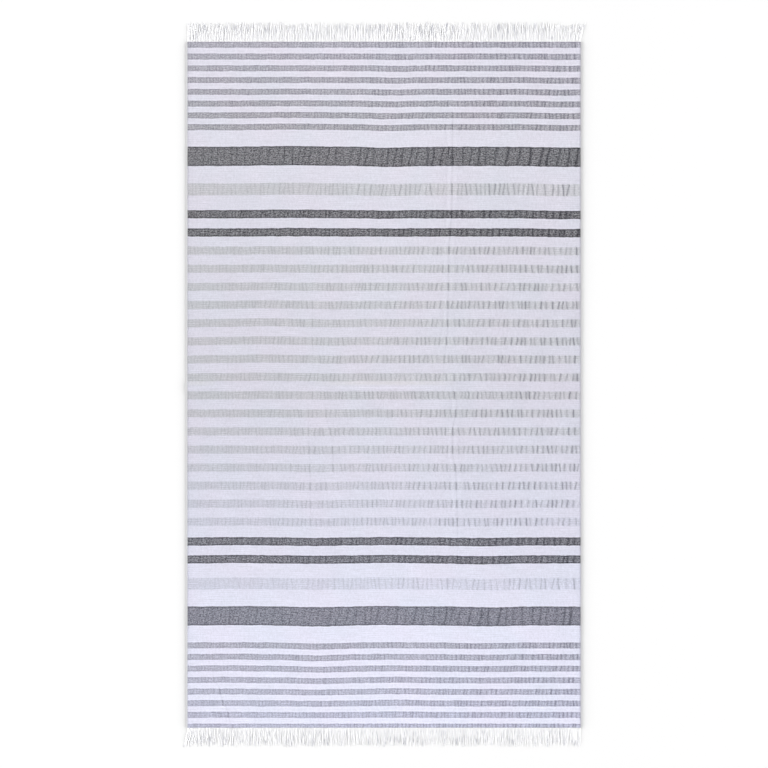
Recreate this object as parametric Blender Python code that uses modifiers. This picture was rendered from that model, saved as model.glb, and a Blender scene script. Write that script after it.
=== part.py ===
"""Beach towel laid out flat: one woven sheet with a short cut fringe along each end.

The towel lies on the plane z = 0, its length along Y and its width along X, with the origin
under its middle. The far end is at +Y. Every size is in metres.
"""

import math
import random
from collections import namedtuple

import bmesh
import bpy

# Driving dimensions of the woven sheet
CLOTH_WIDTH = 0.950
CLOTH_LENGTH = 1.658
CLOTH_THICKNESS = 0.0018

# Driving dimensions of each fringe
STRANDS = 150
FRINGE_REACH = 0.0465  # from the cloth's edge to the longest tip
FRINGE_THICKNESS = 0.0018
SEAM_GAP = 0.0003  # between the cloth's edge and the root strip
ROOT_STRIP = 0.0042  # how deep the strip is that holds the roots
ROOT_WIDTH = 0.0034  # of a strand where it leaves the strip
TIP_WIDTH = 0.0022
TIP_THINNING = 0.65  # a tip's thickness as a share of the root's
TRIM_SPREAD = 0.0035  # how much shorter than the longest a strand may be cut
SWAY_STEP = 0.0015  # how far a tip may stray from its neighbour's lean
SWAY_MEMORY = 0.6  # share of its neighbour's lean that a strand keeps
CORNER_FAN = 0.0095  # lean of the last strand at the corner that splays
CORNER_FAN_START = 0.400  # where across the width the fan begins
STRAND_STEPS = 3
FAR_END_SEED = 11
NEAR_END_SEED = 23

# Spacing of the sheet's columns and rows where it has no crease
PLAIN_COLUMN = 0.042
PLAIN_ROW = 0.042
# Where a crease's own lines lie, in half widths to either side of its crest
CREASE_STATIONS = (-1.0, -0.5, 0.0, 0.5, 1.0)

# A crease follows its knots: where it is along its run, where its crest lies across the run,
# and how high the crest stands off the flat sheet there. Knots go by rising place along.
Knot = namedtuple("Knot", "along across height")
Crease = namedtuple("Crease", "half_width knots")

# Creases that run the towel's length: along is Y, across is X. They are given from left to right.
LENGTHWISE_CREASES = [
    # a short slanting crease that runs off the near left corner
    Crease(0.013, [
        Knot(-0.860, -0.352, 0.0004),
        Knot(-0.790, -0.381, 0.0014),
        Knot(-0.735, -0.400, 0.0016),
        Knot(-0.680, -0.420, 0.0),
    ]),
    # a faint fold left of the middle, broken across the cross fold
    Crease(0.012, [
        Knot(-0.400, -0.178, 0.0),
        Knot(-0.240, -0.182, 0.0014),
        Knot(-0.120, -0.184, 0.0),
        Knot(0.050, -0.186, 0.0),
        Knot(0.150, -0.185, 0.0012),
        Knot(0.250, -0.184, 0.0),
    ]),
    # the fold's branch below the cross fold
    Crease(0.012, [
        Knot(-0.230, -0.120, 0.0),
        Knot(-0.160, -0.122, 0.0012),
        Knot(-0.062, -0.126, 0.0013),
        Knot(0.010, -0.142, 0.0),
    ]),
    # the main fold right of the middle
    Crease(0.014, [
        Knot(-0.400, 0.179, 0.0),
        Knot(-0.340, 0.177, 0.0016),
        Knot(-0.220, 0.174, 0.0024),
        Knot(-0.160, 0.165, 0.0022),
        Knot(-0.111, 0.166, 0.0020),
        Knot(-0.042, 0.177, 0.0024),
        Knot(-0.010, 0.164, 0.0012),
        Knot(0.035, 0.144, 0.0008),
        Knot(0.155, 0.154, 0.0022),
        Knot(0.300, 0.156, 0.0022),
        Knot(0.446, 0.164, 0.0024),
        Knot(0.600, 0.165, 0.0024),
        Knot(0.700, 0.165, 0.0),
    ]),
]

# The fold across the middle, which runs off the left edge: along is X, across is Y.
CROSS_FOLD = Crease(0.015, [
    Knot(-0.520, -0.004, 0.0018),
    Knot(-0.300, -0.003, 0.0020),
    Knot(-0.100, -0.005, 0.0016),
    Knot(0.080, -0.006, 0.0012),
    Knot(0.200, -0.006, 0.0),
])

# Low places where the sheet doesn't lie quite down: middle, reach each way and height.
Swell = namedtuple("Swell", "x y reach_x reach_y height")
SWELLS = [
    Swell(-0.230, 0.560, 0.150, 0.190, 0.0034),
    Swell(0.335, 0.260, 0.110, 0.280, 0.0028),
    Swell(-0.170, -0.470, 0.105, 0.250, 0.0036),
    Swell(0.235, -0.520, 0.110, 0.220, 0.0030),
]

WOVEN_WHITE = (0.74, 0.74, 0.81, 1.0)
YARN_WHITE = (0.86, 0.87, 0.89, 1.0)
COTTON_ROUGHNESS = 0.9


def clear_scene():
    for item in list(bpy.data.objects):
        bpy.data.objects.remove(item, do_unlink=True)


def matte(name, colour):
    """A dull cotton finish."""
    material = bpy.data.materials.new(name)
    material.use_nodes = True
    shader = material.node_tree.nodes["Principled BSDF"]
    shader.inputs["Base Color"].default_value = colour
    shader.inputs["Roughness"].default_value = COTTON_ROUGHNESS
    shader.inputs["Metallic"].default_value = 0.0
    return material


def add_object(name, bm, material, collection):
    mesh = bpy.data.meshes.new(name)
    bm.to_mesh(mesh)
    bm.free()
    mesh.materials.append(material)
    made = bpy.data.objects.new(name, mesh)
    collection.objects.link(made)
    return made


def thicken(made, thickness):
    """Give a drawn surface its thickness, upwards, so that its underside stays where it was drawn."""
    solidify = made.modifiers.new("thickness", "SOLIDIFY")
    solidify.thickness = thickness
    solidify.offset = 1.0
    return solidify


def mix(start, end, share):
    return start + share * (end - start)


def eased(share):
    return share * share * (3.0 - 2.0 * share)


def bump(distance, reach):
    """A soft hump: 1 at its middle, 0 from its reach outwards."""
    if abs(distance) >= reach:
        return 0.0
    return math.cos(0.5 * math.pi * distance / reach) ** 2


def crest(crease, along):
    """Where the crease's crest is across its run, and its height, at a place along the run."""
    knots = crease.knots
    if along <= knots[0].along:
        return knots[0].across, 0.0
    for before, after in zip(knots, knots[1:]):
        if along <= after.along:
            share = eased((along - before.along) / (after.along - before.along))
            return mix(before.across, after.across, share), mix(before.height, after.height, share)
    return knots[-1].across, 0.0


def crease_lift(crease, along, across):
    middle, height = crest(crease, along)
    return height * bump(across - middle, crease.half_width)


def lift(x, y):
    """How high the sheet's underside stands off the floor."""
    height = crease_lift(CROSS_FOLD, x, y)
    for crease in LENGTHWISE_CREASES:
        height += crease_lift(crease, y, x)
    for swell in SWELLS:
        distance = math.hypot((x - swell.x) / swell.reach_x, (y - swell.y) / swell.reach_y)
        height += swell.height * bump(distance, 1.0)
    return height


def plain_shares(creases, half_span, spacing):
    """For each stretch beside or between creases, the shares of it at which plain lines lie."""
    edges = [-half_span]
    for crease in creases:
        middle = sum(knot.across for knot in crease.knots) / len(crease.knots)
        edges += [middle - crease.half_width, middle + crease.half_width]
    edges.append(half_span)
    shares = []
    for start, end in zip(edges[0::2], edges[1::2]):
        steps = max(1, round((end - start) / spacing))
        shares.append([step / steps for step in range(1, steps)])
    return shares


def line_places(creases, shares, along, half_span):
    """Every line's place across the sheet, at a place along the creases that the lines follow."""
    places = [-half_span]
    for crease, stretch in zip(creases, shares):
        middle = crest(crease, along)[0]
        stations = [middle + station * crease.half_width for station in CREASE_STATIONS]
        start = places[-1]
        places += [mix(start, stations[0], share) for share in stretch]
        places += stations
    start = places[-1]
    places += [mix(start, half_span, share) for share in shares[-1]]
    places.append(half_span)
    return places


def build_cloth(collection):
    """The woven sheet: a grid whose columns and rows follow the folds, raised and thickened."""
    half_width = CLOTH_WIDTH / 2
    half_length = CLOTH_LENGTH / 2
    column_shares = plain_shares(LENGTHWISE_CREASES, half_width, PLAIN_COLUMN)
    row_shares = plain_shares([CROSS_FOLD], half_length, PLAIN_ROW)
    row_places = line_places([CROSS_FOLD], row_shares, 0.0, half_length)
    rows = [
        (y, line_places(LENGTHWISE_CREASES, column_shares, y, half_width)) for y in row_places
    ]
    last_row = len(rows) - 1
    last_column = len(rows[0][1]) - 1

    bm = bmesh.new()
    bmesh.ops.create_grid(bm, x_segments=last_column, y_segments=last_row, size=0.5)
    for vert in bm.verts:
        y, columns = rows[round((vert.co.y + 0.5) * last_row)]
        x = columns[round((vert.co.x + 0.5) * last_column)]
        vert.co = (x, y, lift(x, y))
    cloth = add_object("cloth", bm, matte("woven cotton", WOVEN_WHITE), collection)
    thicken(cloth, CLOTH_THICKNESS)
    return cloth


def root_middle(strand):
    """Where across the width a strand leaves its strip."""
    return CLOTH_WIDTH * ((strand + 0.5) / STRANDS - 0.5)


def strand_leans(chance):
    """How far each tip leans sideways from its root. Neighbours lean alike, and the last ones
    fan out over the corner."""
    leans = []
    lean = 0.0
    fan_reach = root_middle(STRANDS - 1) - CORNER_FAN_START
    for strand in range(STRANDS):
        lean = SWAY_MEMORY * lean + chance.uniform(-SWAY_STEP, SWAY_STEP)
        fan = max(0.0, (root_middle(strand) - CORNER_FAN_START) / fan_reach)
        leans.append(lean * (1.0 - fan) + CORNER_FAN * fan ** 2)
    return leans


def draw_root_strip(bm, thinning, inner, outer):
    """The strip that holds the roots, its cells going gap, strand, gap and so on to a last gap.
    It gives the strands' root edges, from left to right."""
    cuts = [-CLOTH_WIDTH / 2]
    for strand in range(STRANDS):
        middle = root_middle(strand)
        cuts += [middle - ROOT_WIDTH / 2, middle + ROOT_WIDTH / 2]
    cuts.append(CLOTH_WIDTH / 2)
    cells = len(cuts) - 1

    bmesh.ops.create_grid(bm, x_segments=cells, y_segments=1, size=0.5)
    outer_verts = {vert for vert in bm.verts if vert.co.y > 0.0}
    for vert in bm.verts:
        vert.co = (cuts[round((vert.co.x + 0.5) * cells)], outer if vert in outer_verts else inner, 0.0)
        vert[thinning][0] = 1.0
    outer_edges = [edge for edge in bm.edges if outer_verts.issuperset(edge.verts)]
    outer_edges.sort(key=lambda edge: min(vert.co.x for vert in edge.verts))
    return outer_edges[1::2]


def grow_strand(bm, thinning, edge, tip_y, lean):
    """Draw one strand out of its root edge, a few steps long, narrower and thinner to its tip."""
    root_x = sum(vert.co.x for vert in edge.verts) / 2
    root_y = edge.verts[0].co.y
    for step in range(1, STRAND_STEPS + 1):
        share = step / STRAND_STEPS
        grown = bmesh.ops.extrude_edge_only(bm, edges=[edge])["geom"]
        edge = next(item for item in grown if isinstance(item, bmesh.types.BMEdge))
        half = mix(ROOT_WIDTH, TIP_WIDTH, share) / 2
        middle = root_x + lean * share ** 1.5
        left, right = sorted(edge.verts, key=lambda vert: vert.co.x)
        for vert, x in ((left, middle - half), (right, middle + half)):
            vert.co = (x, mix(root_y, tip_y, share), 0.0)
            vert[thinning][0] = mix(1.0, TIP_THINNING, share)


def build_fringe(name, turn, seed, collection):
    """One fringe, drawn flat at the far end and turned about the origin to its own end: a root
    strip just off the cloth's edge, and the strands that grow from its outer side."""
    chance = random.Random(seed)
    inner = CLOTH_LENGTH / 2 + SEAM_GAP
    longest = CLOTH_LENGTH / 2 + FRINGE_REACH

    bm = bmesh.new()
    thinning = bm.verts.layers.deform.verify()
    roots = draw_root_strip(bm, thinning, inner, inner + ROOT_STRIP)
    for edge, lean in zip(roots, strand_leans(chance)):
        grow_strand(bm, thinning, edge, longest - TRIM_SPREAD * chance.random() ** 2, lean)
    bmesh.ops.recalc_face_normals(bm, faces=bm.faces)
    bm.faces.ensure_lookup_table()
    if bm.faces[0].normal.z < 0.0:
        bmesh.ops.reverse_faces(bm, faces=bm.faces)

    fringe = add_object(name, bm, matte(name + " yarn", YARN_WHITE), collection)
    fringe.vertex_groups.new(name="thinning")
    thicken(fringe, FRINGE_THICKNESS).vertex_group = "thinning"
    fringe.rotation_euler.z = turn
    return fringe


def main():
    clear_scene()
    collection = bpy.data.collections.new("beach_towel")
    bpy.context.scene.collection.children.link(collection)
    build_cloth(collection)
    build_fringe("fringe_far_end", 0.0, FAR_END_SEED, collection)
    build_fringe("fringe_near_end", math.pi, NEAR_END_SEED, collection)


main()
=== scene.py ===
"""The dressed beach towel, laid out flat on a white floor and seen from straight above.

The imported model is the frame. A finely woven sheet with puckered stripes and two fringes of yarn
take the place of the plain solids and lie where they lie. Every size is in metres.
"""

import functools
import math
import random
from collections import namedtuple

import bpy
import numpy as np
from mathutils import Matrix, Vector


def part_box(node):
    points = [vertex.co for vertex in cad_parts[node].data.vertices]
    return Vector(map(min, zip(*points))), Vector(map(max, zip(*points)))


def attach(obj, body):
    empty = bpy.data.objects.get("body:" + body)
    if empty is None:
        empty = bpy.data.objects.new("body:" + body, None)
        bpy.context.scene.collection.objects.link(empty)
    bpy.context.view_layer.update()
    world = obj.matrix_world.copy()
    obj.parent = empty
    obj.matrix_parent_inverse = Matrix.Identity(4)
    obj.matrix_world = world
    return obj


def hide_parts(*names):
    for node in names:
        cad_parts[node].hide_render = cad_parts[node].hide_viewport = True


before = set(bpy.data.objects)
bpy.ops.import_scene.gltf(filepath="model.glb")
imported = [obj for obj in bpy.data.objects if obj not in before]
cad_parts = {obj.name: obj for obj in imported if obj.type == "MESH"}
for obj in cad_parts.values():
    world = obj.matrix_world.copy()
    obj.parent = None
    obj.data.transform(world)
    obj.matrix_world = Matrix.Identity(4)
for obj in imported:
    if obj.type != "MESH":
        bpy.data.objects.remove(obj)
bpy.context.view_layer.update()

# ---- Sizes taken from the frame ----

CLOTH_LOW, CLOTH_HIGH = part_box("cloth")
CLOTH_WIDTH = round(CLOTH_HIGH[0] - CLOTH_LOW[0], 3)
CLOTH_LENGTH = round(CLOTH_HIGH[1] - CLOTH_LOW[1], 3)
FRINGE_LOW, FRINGE_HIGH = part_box("fringe_far_end")
FRINGE_ROOT = FRINGE_LOW[1]  # where the far fringe starts, just off the cloth's edge
FRINGE_REACH = FRINGE_HIGH[1] - FRINGE_ROOT

# ---- The camera ----

VIEW_SPAN = 1.857  # what the photograph's frame takes in at the floor
VIEW_MIDDLE = (-0.0001, 0.0019)
LENS_MM = 85.0
SENSOR_MM = 36.0

# ---- The light ----

WORLD_LIGHT = 0.12

# Where a softbox stands: its direction counted from +X towards +Y, its height above the floor as
# seen from the towel's middle, how far off it is, how wide and tall it is, and its power in watts.
Lamp = namedtuple("Lamp", "name direction elevation distance width height power")
LAMPS = [
    Lamp("left_strip", 180.0, 16.0, 12.0, 24.0, 5.2, 2980.0),
    Lamp("right_strip", 0.0, 16.0, 12.0, 24.0, 5.2, 3220.0),
    Lamp("key_softbox", 180.0, 42.0, 20.0, 5.3, 5.3, 970.0),
]

FLOOR_SIZE = 22.0  # it stops just short of the strips, which light nothing behind them
FLOOR_DROP = 0.0003
BACKDROP_WHITE = 1.05  # how bright the plain backdrop beyond the floor is seen

# ---- The striped layout ----

# Stripes run across the towel. A run of stripes is given by how far from the far end its first
# one starts, one stripe's width, the pitch from one to the next, and how many there are.
Run = namedtuple("Run", "kind first width pitch count")
STRIPE_RUNS = [
    Run("grey", 0.0, 0.0143, 0.02846, 8),
    Run("dark", 0.2539, 0.0462, 0.1, 1),
    Run("pale", 0.3423, 0.0287, 0.1, 1),
    Run("dark", 0.4070, 0.0196, 0.0440, 2),
    Run("pale", 0.4951, 0.0194, 0.0437, 16),
    Run("dark", 1.1981, 0.0193, 0.0433, 2),
    Run("pale", 1.2962, 0.0278, 0.1, 1),
    Run("dark", 1.3652, 0.0455, 0.1, 1),
    Run("grey", 1.4521, 0.0141, 0.0280, 8),
]

# ---- How the cloth lies ----

SHEET_THICKNESS = 0.0018
SELVEDGE_RISE = 0.0013  # how much thicker the long edges are
SELVEDGE_WIDTH = 0.014
EDGE_ROLL = 0.0008  # the width over which the sheet's rim rounds down
RIM_SHARE = 0.7  # the rim's height as a share of the thickness
SELVEDGE_UNDERCUT = 0.0024  # how far in the long edges' foot lies, as they curl up off the floor

# A crease follows its knots: where it is along its run, where its crest lies across the run,
# and how high the crest stands off the flat sheet there. Knots go by rising place along.
Knot = namedtuple("Knot", "along across height")
Crease = namedtuple("Crease", "half_width knots")

FOLD_LINE = 0.0026  # half the width of the sharp line along a fold's crest
FOLD_LINE_DEPTH = 0.0008
FOLD_LINE_FULL = 0.0015  # the crest's height from which the line is at its sharpest

# Creases that run the towel's length, from left to right: along is Y, across is X.
LENGTHWISE_CREASES = [
    # a short slanting crease that runs off the near left corner
    Crease(0.013, [
        Knot(-0.860, -0.353, 0.0008),
        Knot(-0.800, -0.375, 0.0015),
        Knot(-0.745, -0.395, 0.0016),
        Knot(-0.700, -0.413, 0.0010),
        Knot(-0.670, -0.423, 0.0),
    ]),
    # a faint fold left of the middle, broken across the cross fold
    Crease(0.012, [
        Knot(-0.420, -0.177, 0.0),
        Knot(-0.330, -0.178, 0.0008),
        Knot(-0.240, -0.179, 0.0009),
        Knot(-0.100, -0.183, 0.0008),
        Knot(-0.010, -0.183, 0.0),
        Knot(0.050, -0.174, 0.0),
        Knot(0.110, -0.173, 0.0008),
        Knot(0.190, -0.173, 0.0008),
        Knot(0.270, -0.172, 0.0),
    ]),
    # the fold's branch below the cross fold
    Crease(0.012, [
        Knot(-0.265, -0.123, 0.0),
        Knot(-0.180, -0.123, 0.0012),
        Knot(-0.125, -0.127, 0.0010),
        Knot(-0.080, -0.140, 0.0009),
        Knot(-0.030, -0.142, 0.0),
    ]),
    # the main fold right of the middle
    Crease(0.014, [
        Knot(-0.400, 0.179, 0.0),
        Knot(-0.340, 0.177, 0.0016),
        Knot(-0.220, 0.174, 0.0024),
        Knot(-0.160, 0.165, 0.0022),
        Knot(-0.111, 0.166, 0.0020),
        Knot(-0.042, 0.177, 0.0024),
        Knot(-0.010, 0.164, 0.0012),
        Knot(0.035, 0.144, 0.0008),
        Knot(0.155, 0.154, 0.0022),
        Knot(0.300, 0.156, 0.0022),
        Knot(0.446, 0.164, 0.0024),
        Knot(0.600, 0.165, 0.0024),
        Knot(0.700, 0.165, 0.0),
    ]),
]

# The fold across the middle, which runs off the left edge: along is X, across is Y.
CROSS_FOLD = Crease(0.015, [
    Knot(-0.520, -0.004, 0.0018),
    Knot(-0.300, -0.003, 0.0020),
    Knot(-0.100, -0.005, 0.0016),
    Knot(0.080, -0.006, 0.0012),
    Knot(0.200, -0.006, 0.0),
])

# Stretches of the cross fold that turn up most: they get a painted highlight along the crest and a
# warm painted shade on the far side of it.
Turned = namedtuple("Turned", "x_start x_end share")
TURNED_STRETCHES = [Turned(-0.170, 0.175, 1.0), Turned(-0.500, -0.405, 0.8)]
TURNED_CREST = -0.0070  # the painted highlight's Y and half its width
TURNED_LINE = 0.0034
TURNED_FAR = 0.0045  # the warm painted shade band's Y and half its width
TURNED_BAND = 0.0095
TURNED_EVENNESS = 0.3  # the power that keeps a stretch even up to near its ends

# Low places where the sheet doesn't lie quite down: middle, reach each way and height.
Swell = namedtuple("Swell", "x y reach_x reach_y height")
SWELLS = [
    Swell(-0.230, 0.560, 0.150, 0.190, 0.0034),
    Swell(0.335, 0.260, 0.110, 0.280, 0.0028),
    Swell(-0.170, -0.470, 0.105, 0.250, 0.0036),
    Swell(0.235, -0.520, 0.110, 0.220, 0.0030),
]

# Short wrinkles beside the folds: their two ends, height and half width.
Wrinkle = namedtuple("Wrinkle", "x_start y_start x_end y_end height half_width")
WRINKLES = [
    Wrinkle(0.108, 0.665, 0.166, 0.633, 0.0012, 0.006),
    Wrinkle(0.150, 0.028, 0.182, -0.046, 0.0011, 0.005),
    Wrinkle(0.128, -0.020, 0.158, -0.088, 0.0007, 0.005),
    Wrinkle(0.443, -0.338, 0.455, -0.392, 0.0010, 0.006),
    Wrinkle(-0.142, 0.012, -0.130, -0.052, 0.0009, 0.004),
    Wrinkle(-0.128, 0.006, -0.118, -0.046, 0.0007, 0.004),
]

# Where the weft was pulled out of line in its own plane: middle, reach each way, and how far
# the stripes are pulled towards the far end.
Pull = namedtuple("Pull", "x y reach_x reach_y shift")
PULLS = [
    Pull(-0.220, 0.520, 0.170, 0.330, 0.0014),
    Pull(0.010, 0.560, 0.090, 0.270, -0.0024),
    Pull(0.440, 0.480, 0.130, 0.380, -0.0022),
    Pull(0.430, 0.720, 0.120, 0.160, -0.0012),
    Pull(0.040, 0.760, 0.070, 0.120, -0.0011),
    Pull(0.400, 0.120, 0.160, 0.300, -0.0012),
    Pull(-0.470, 0.120, 0.050, 0.200, -0.0012),
    Pull(-0.290, 0.130, 0.110, 0.260, 0.0018),
    Pull(-0.120, 0.110, 0.080, 0.230, -0.0012),
    Pull(-0.350, -0.480, 0.110, 0.330, 0.0012),
    Pull(-0.400, -0.740, 0.140, 0.170, 0.0010),
    Pull(-0.165, -0.240, 0.100, 0.260, -0.0018),
    Pull(-0.160, -0.650, 0.110, 0.200, -0.0026),
    Pull(0.010, -0.480, 0.100, 0.330, 0.0013),
    Pull(0.030, -0.760, 0.120, 0.120, 0.0016),
    Pull(0.230, -0.500, 0.130, 0.320, -0.0021),
    Pull(0.190, -0.525, 0.090, 0.110, 0.0015),
    Pull(0.240, -0.200, 0.130, 0.160, -0.0008),
]
PULLS_STOP = 0.03  # the last stretch before a fringe, where the weft comes straight again

# ---- The puckers of each kind of stripe ----

# The coloured weft draws in less than the white, so each stripe puckers into little pillows with
# tight creases between them. For each kind: the creases' mean pitch in a stripe of the usual
# width, their depth at the left and the right edge, how they lean and how much that varies, as
# distance across the towel for each metre along it, how far they may bow, how much of a crease's
# depth its flanks take at the right edge, and by what share all are shallower at the near end.
Pucker = namedtuple("Pucker", "pitch depth_left depth_right lean lean_spread bow flank calmer")
PUCKERS = {
    "grey": Pucker(0.0095, 0.00036, 0.00096, 0.08, 0.25, 0.0003, 0.28, 0.05),
    "pale": Pucker(0.0105, 0.00022, 0.00100, 0.04, 0.25, 0.0004, 0.26, 0.34),
    "dark": Pucker(0.0122, 0.00068, 0.00130, 0.15, 0.14, 0.0014, 0.50, 0.28),
}
PUCKER_SEED = 5
USUAL_STRIPE = 0.020  # the pitch goes with the square root of a stripe's width
PITCH_SPREAD = (0.66, 1.34)  # the least and most of it, as a share
PITCH_AT_LEFT = 0.82  # its mean at the left edge, as a share
WIDER_TO_RIGHT = 0.4  # and how much more it is at the right edge
CLOSEST_CREASES = 0.0052
CLEAR_OF_FOLDS = 0.0095  # how far the other creases stay off a fold's own
LEAST_COLUMN = 0.0010
SHALLOWEST_CREASE = 0.42  # as a share of the deepest
FOLD_CREASE_DEPTH = 0.0007  # how deep a stripe's crease on a lengthwise fold is at least
DEEPEST_PAINTED_SHADE = 0.00125  # the depth at which a crease's painted shade is full
STRIPE_BLEND = 0.0020  # half the width over which a pucker starts at its stripe's edge
CALMER_FROM = 1.17  # how far from the far end the puckers start to grow shallower
CALMER_BY = 1.30  # and where they are shallower by their whole share

# ---- The sheet's grid ----

FINE_COLUMN = 0.0025
ROW_IN_STRIPE = 0.0072
ROW_BETWEEN_STRIPES = 0.015
ROW_BY_CROSS_FOLD = 0.0020
CROSS_FOLD_STRETCH = (CLOTH_LENGTH / 2 - 0.018, CLOTH_LENGTH / 2 + 0.014)  # from the far end
CLOSEST_ROWS = 0.0004
UNDERSIDE_STEP_ACROSS = 8  # in fine columns
UNDERSIDE_STEP_ALONG = 5  # in fine rows

# ---- The fringes ----

# For each: the node, its turn about the towel's middle, its seed, its share of the reach, and how
# far its last strand leans out over the corner.
Fringe = namedtuple("Fringe", "node turn seed share corner_fan")
FRINGES = [
    Fringe("fringe_far_end", 0.0, 3, 1.0, 0.0150),
    Fringe("fringe_near_end", math.pi, 8, 0.975, 0.0125),
]
# Flat soft yarns lie side by side, and finer wisps that worked loose of them lie across. For each:
# how many, how wide and how flat one is, how far its end leans, how far it wavers on its way, the
# shortest cut as a share of the fringe's reach, how high it is laid, and its first random draw.
Strands = namedtuple("Strands", "name count thickness flatness sway waver shortest height draw")
STRANDS = [
    Strands("Yarn", 255, 0.0031, 0.30, 0.0040, 0.0011, 0.86, 0.0, 1),
    Strands("Wisp", 150, 0.0013, 0.50, 0.0060, 0.0018, 0.72, 0.0007, 21),
]
LONGEST_CUT = 1.05  # as a share of the fringe's reach
STRAND_STEPS = 9
STRAND_SIDES = 6
STRAND_HUMP = 0.0008
STRAND_THINNING = 0.65  # how much thinner its tip is, as a share
THINNING_BEND = 3.0  # the power by which it thins more towards its tip
STRAND_BEND = 1.4  # the power by which it leans more towards its tip
STRAND_WINDING = 9.0  # the angle that its wavering goes through from root to tip
OWN_SWAY = 0.6  # how far it sways apart from its neighbours, as a share of the sway
SWAY_TOGETHER = (0.25, 0.75, -1.0, 1.0)  # the noise's values, and the sway that they stand for
YARN_PLY = 0.0011  # pitch of the twist
LEAN_WAVES = 60.0
FAN_START = 0.86  # where the fan to one corner starts, as a share of the half width
STEADY_START = 0.95  # where the sway dies out towards the other corner
STITCHES = 330
STITCH_WIDTH = (0.50, 0.66)  # half a stitch's least and greatest width, as a share of their pitch
STITCH_TURN = 0.14  # how far one may be turned either way, as an angle
STITCH_DRAWS = (6, 7)  # the random draws of its width and its turn
STITCH_FLATNESS = 0.15  # half its height, as a share of a yarn's thickness
ROOT_ROW = 0.0048

# ---- The finishes ----

COTTON = {"Roughness": 0.92, "Specular IOR Level": 0.25, "Sheen Weight": 0.12, "Sheen Roughness": 0.6}
WHITE_FLOOR = {"Base Color": (0.97, 0.97, 0.97, 1.0), "Roughness": 0.9, "Specular IOR Level": 0.1}
WEFT_PITCH = 0.0016
WARP_PITCH = 0.0012
WARP_SHARE = 0.35  # how far the warp stands out beside the weft
THREAD_WANDER = 60.0  # how many times to a metre the weft wanders, roughly
THREAD_RELIEF = (0.0002, 0.25)  # a bump's depth and strength
CRINKLE_RELIEF = (0.0007, 1.0)
RIB_PITCH = 0.0052  # the heavier picks that show as faint ribs

# How many to a metre across and along, roughly
WARP_STREAKS = (200.0, 110.0)
WEFT_STREAKS = (20.0, 380.0)
FLECKS = (260.0, 350.0)
SLUBS = (40.0, 620.0)
SLUB_SHARE = 0.3  # how much the slubs count beside the flecks
FLECK_SHARPNESS = 4.4  # how hard the dark flecks stand out from the light ones
# the painted shade's gaps along the yarns, also so many to a metre
PAINTED_GAP_SCALES = (480.0, 26.0)

# A ramp turns the values from low to high into those from at_low to at_high, and stops there.
Ramp = namedtuple("Ramp", "low high at_low at_high way", defaults=(0.0, 1.0, "LINEAR"))
# A waver is a soft random pattern over the cloth: its scale and detail, and the ramp of its values.
Waver = namedtuple("Waver", "scale detail ramp")

FRAYED = Waver(700.0, 2.0, Ramp(0.3, 0.7, -0.0004, 0.0004))  # the stripes' edges, thread by thread
UNEVEN = Waver(45.0, 2.0, Ramp(0.25, 0.75, -0.0008, 0.0008))  # and their slower wandering
MOTTLE = Waver(380.0, 2.0, Ramp(0.3, 0.7, 0.94, 1.06))  # the white ground's brightness
WASHED = Waver(9.0, 1.0, Ramp(0.35, 0.65))  # from washed cool to washed warm
PATCHY = Waver(22.0, 1.0, Ramp(0.3, 0.7, -0.012, 0.012))

# Small creases between the puckers.
CRINKLES = [
    {"Lean": 0.24, "Pitch": 0.0085, "Length": 0.036},
    {"Lean": -0.18, "Pitch": 0.0074, "Length": 0.050},
]
CRINKLE_SHARPNESS = 4.5

# These go by the stripes: 0 on the white ground and 1 in a stripe.
CRINKLED_IN_STRIPES = Ramp(0.0, 1.0, 0.25, 1.0)
RIBBED_IN_STRIPES = Ramp(0.0, 1.0, 0.042, 0.095)
# painted light: how much brighter the middle is painted, on the ground and in a stripe
PAINTED_BRIGHTER_MIDDLE = Ramp(0.0, 1.0, 0.014, 0.030)
# These go by the place across: 0 at the left edge and 1 at the right.
CRINKLED_TO_RIGHT = Ramp(0.0, 1.0, 0.08, 1.0)
# painted light: the colour is painted dimmer towards the right edge
PAINTED_DIMMING_TO_RIGHT = Ramp(0.55, 1.0, 0.0, -0.032)
TINTED_TO_RIGHT = Ramp(0.35, 1.0)
PALE_TO_RIGHT = 0.06  # how much brighter the pale stripes are there, and the dark ones darker
DARK_TO_RIGHT = -0.07
BRIGHT_MIDDLE = 0.48  # where the painted brighter middle lies, and how it fades to both sides
MIDDLE_REACH = Ramp(0.05, 0.32, 1.0, 0.0, "SMOOTHSTEP")
# How strongly the ribs show by the patchy pattern, and how far they wander with it
RIBS_IN_PATCHES = Ramp(0.42, 0.66, 0.15, 1.0)
RIB_WANDER = 6.0
STREAKED = Ramp(0.3, 0.7, -0.040, 0.040)  # by how much a streak is brighter or darker
CRINKLE_PAINTED_LIGHT = 0.32  # painted light: how much brighter the colour is painted between its small creases
TURNED_PAINTED_HIGHLIGHT = 0.10  # and along the cross fold's turned crest, as a painted highlight

# Painted shade: how dark the creases, the folds' lines and the sides are painted, the sides by how far
# in from them a place is, as a share of the painted crease shade, which the colour is multiplied by
CRINKLE_PAINTED_SHADE = 0.34
FOLD_LINE_PAINTED_SHADE = 0.12
# painted shade along the selvedges, and painted darkest on the rim, where the cloth's edge is in shade
SELVEDGE_PAINTED_SHADE = Ramp(0.0020, 0.0052, 0.14, 0.0)
RIM_PAINTED_SHADE = Ramp(0.0, 0.0020, 1.0, 0.0)
PAINTED_CREASE_SHADE = (0.35, 0.35, 0.38, 1.0)

# Beside the edge of a dark or a grey stripe, what the colour is multiplied by on each side of it
EDGE_REACH = Ramp(0.0008, 0.0042, 1.0, 0.0, "SMOOTHSTEP")
GROUND_EDGE = (1.07, 1.07, 1.07, 1.0)
GREY_EDGE = (0.82, 0.82, 0.84, 1.0)
DARK_EDGE = (0.45, 0.45, 0.47, 1.0)

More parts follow.
